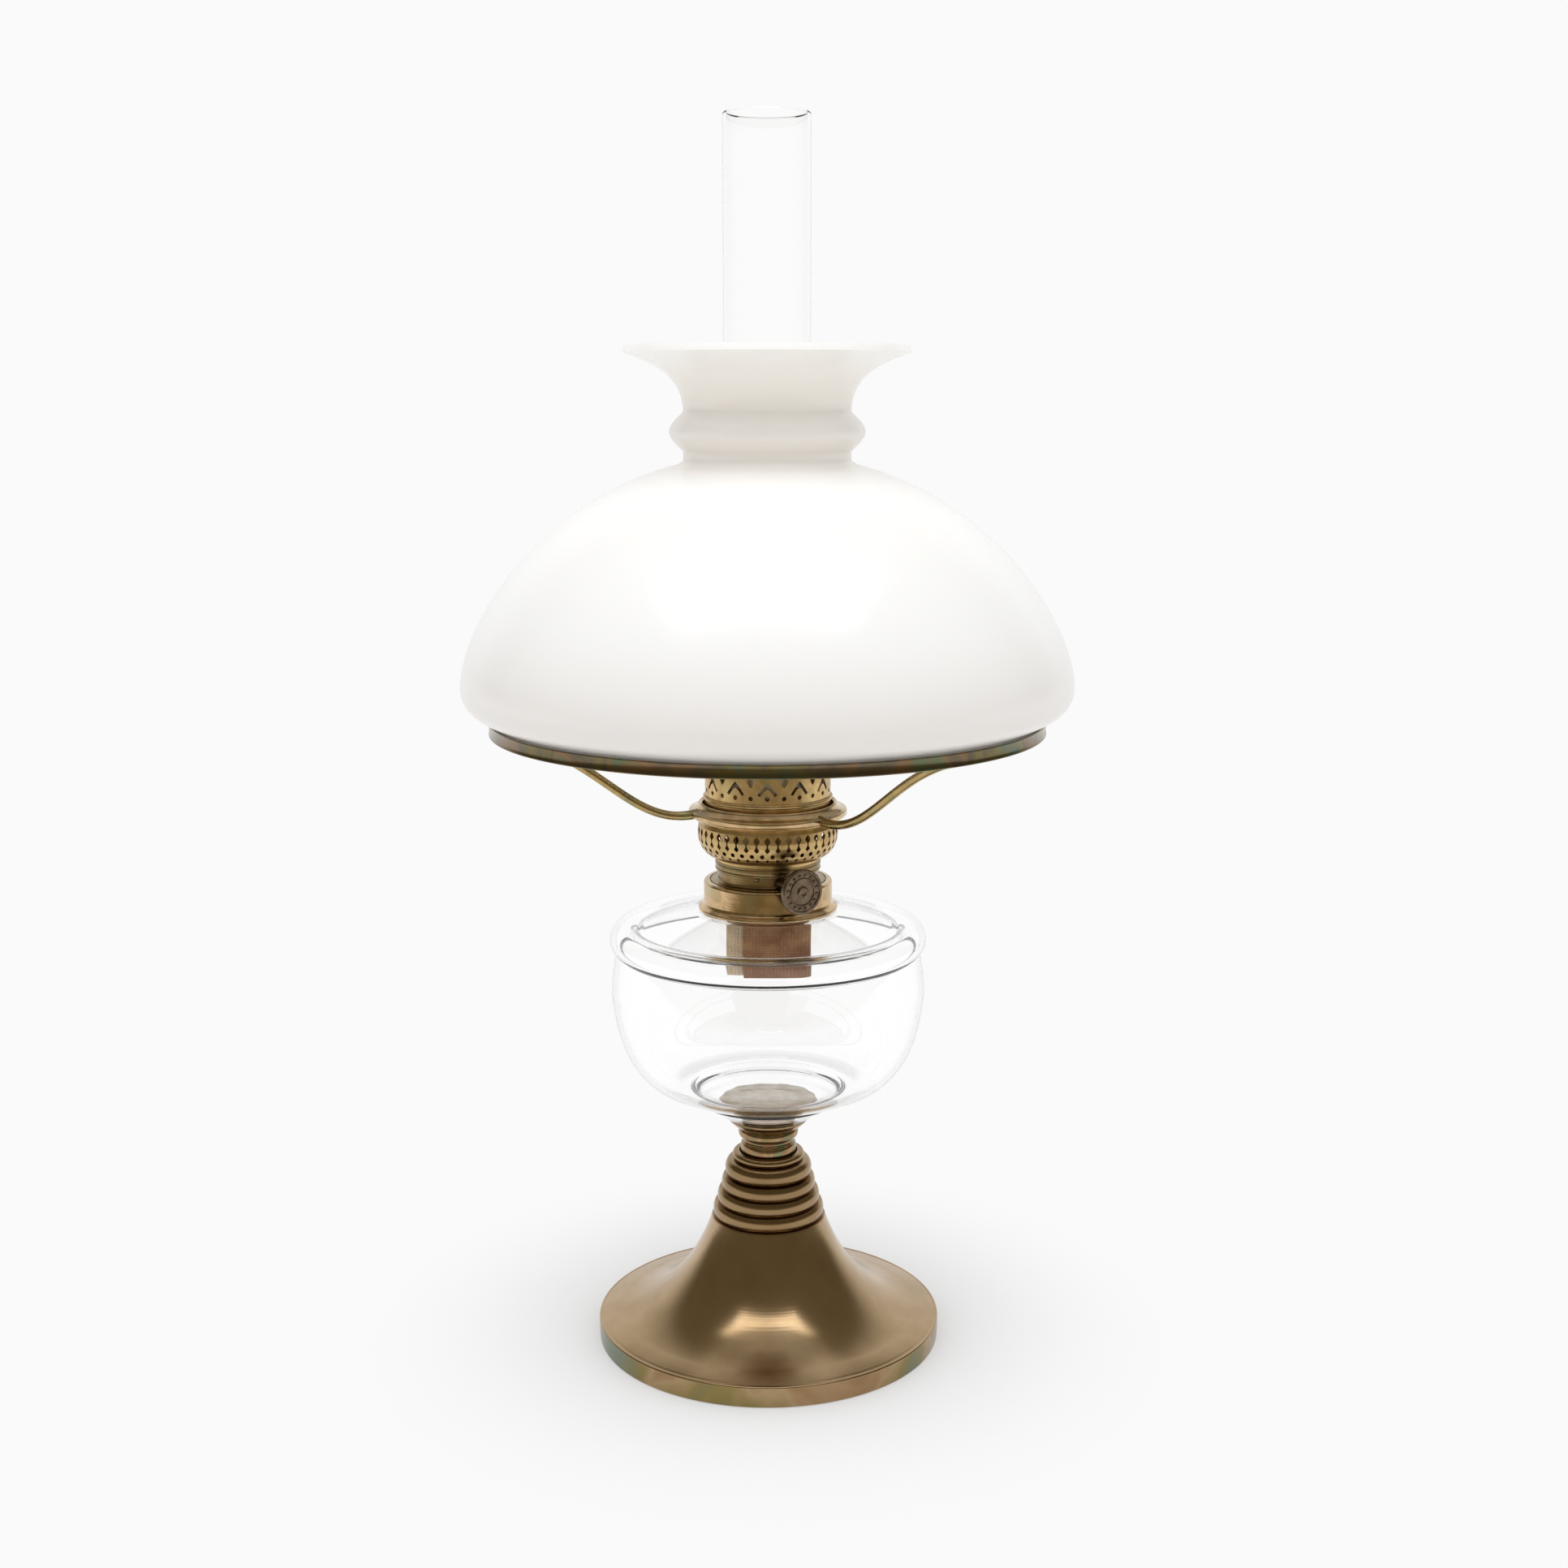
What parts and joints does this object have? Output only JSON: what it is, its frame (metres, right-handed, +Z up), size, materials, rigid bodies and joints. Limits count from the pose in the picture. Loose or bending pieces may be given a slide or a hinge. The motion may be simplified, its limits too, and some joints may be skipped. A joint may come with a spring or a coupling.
{
  "type": "kerosene table lamp",
  "caption": "Table oil lamp with spun brass foot, clear glass font, round-wick burner with a wick-raising knob, glass chimney and a milk-glass dome shade on a lift-off ring.",
  "frame": {"origin": "on the table plane under the middle of the foot", "axes": "+Z up along the lamp's axis, -Y towards the viewer in the picture, +X to the viewer's right"},
  "size_m": [0.2608, 0.2608, 0.5304],
  "materials": {
    "spun_brass": "satin spun brass with a brown patina",
    "turned_brass": "polished and tarnished turned brass",
    "pressed_brass": "pressed sheet brass, lightly tarnished",
    "drawn_brass": "drawn brass wire",
    "dark_brass": "darkened brass with tarnish colours",
    "steel": "zinc-plated steel",
    "iron": "raw casting",
    "felt": "pressed wool felt",
    "plaster": "set plaster",
    "clear_glass": "clear, smooth",
    "opal_glass": "glossy milk glass",
    "cotton": "woven cotton, stained by oil",
    "cork": "pressed cork"
  },
  "bodies": {
    "stand": {"foot_shell": "spun_brass", "foot_bottom_plate": "steel", "foot_felt": "felt", "foot_ballast": "iron", "tie_rod": "steel", "tie_washer": "steel", "tie_nut": "steel", "stem_spool": "turned_brass", "lower_plaster": "plaster", "font": "clear_glass", "upper_plaster": "plaster", "collar": "turned_brass"},
    "seal": {"burner_gasket": "cork"},
    "burner": {"burner_base": "pressed_brass", "outer_wick_tube": "pressed_brass", "inner_air_tube": "pressed_brass", "air_duct": "pressed_brass", "shaft_bush": "pressed_brass"},
    "wick_drive": {"wick_shaft": "turned_brass", "star_wheel": "pressed_brass", "wick_knob": "dark_brass"},
    "wick": {"wick": "cotton"},
    "gallery": {"basket": "pressed_brass", "gallery": "pressed_brass"},
    "chimney": {"chimney": "clear_glass"},
    "holder": {"holder_hub": "turned_brass", "holder_arm_right": "drawn_brass", "holder_arm_left": "drawn_brass", "holder_arm_back": "drawn_brass", "holder_ring": "dark_brass"},
    "shade": {"shade": "opal_glass"}
  },
  "joints": [
    {"name": "burner_rise", "type": "slide", "parent": "stand", "child": "seal", "axis": [0, 0, 1], "range_m": [0, 0.0076]},
    {"name": "burner_unscrew", "type": "hinge", "parent": "seal", "child": "burner", "pos_m": [0, 0, 0.2084], "axis": [0, 0, 1], "range_deg": [0, 1080]},
    {"name": "knob_turn", "type": "hinge", "parent": "burner", "child": "wick_drive", "pos_m": [-0.00671, -0.00436, 0.213], "axis": [0.5446, -0.8387, 0], "range_deg": [-115, 86]},
    {"name": "wick_rise", "type": "slide", "parent": "burner", "child": "wick", "axis": [0, 0, 1], "range_m": [-0.0085, 0.0062]},
    {"name": "gallery_lift", "type": "slide", "parent": "burner", "child": "gallery", "axis": [0, 0, 1], "range_m": [0, 0.075]},
    {"name": "chimney_lift", "type": "slide", "parent": "gallery", "child": "chimney", "axis": [0, 0, 1], "range_m": [0, 0.2]},
    {"name": "holder_lift", "type": "slide", "parent": "gallery", "child": "holder", "axis": [0, 0, 1], "range_m": [0, 0.3]},
    {"name": "shade_lift", "type": "slide", "parent": "holder", "child": "shade", "axis": [0, 0, 1], "range_m": [0, 0.26]}
  ],
  "couplings": [
    {"joint": "burner_rise", "follows": "burner_unscrew", "m_per_rad": 0.00039789},
    {"joint": "wick_rise", "follows": "knob_turn", "m_per_rad": 0.004}
  ]
}
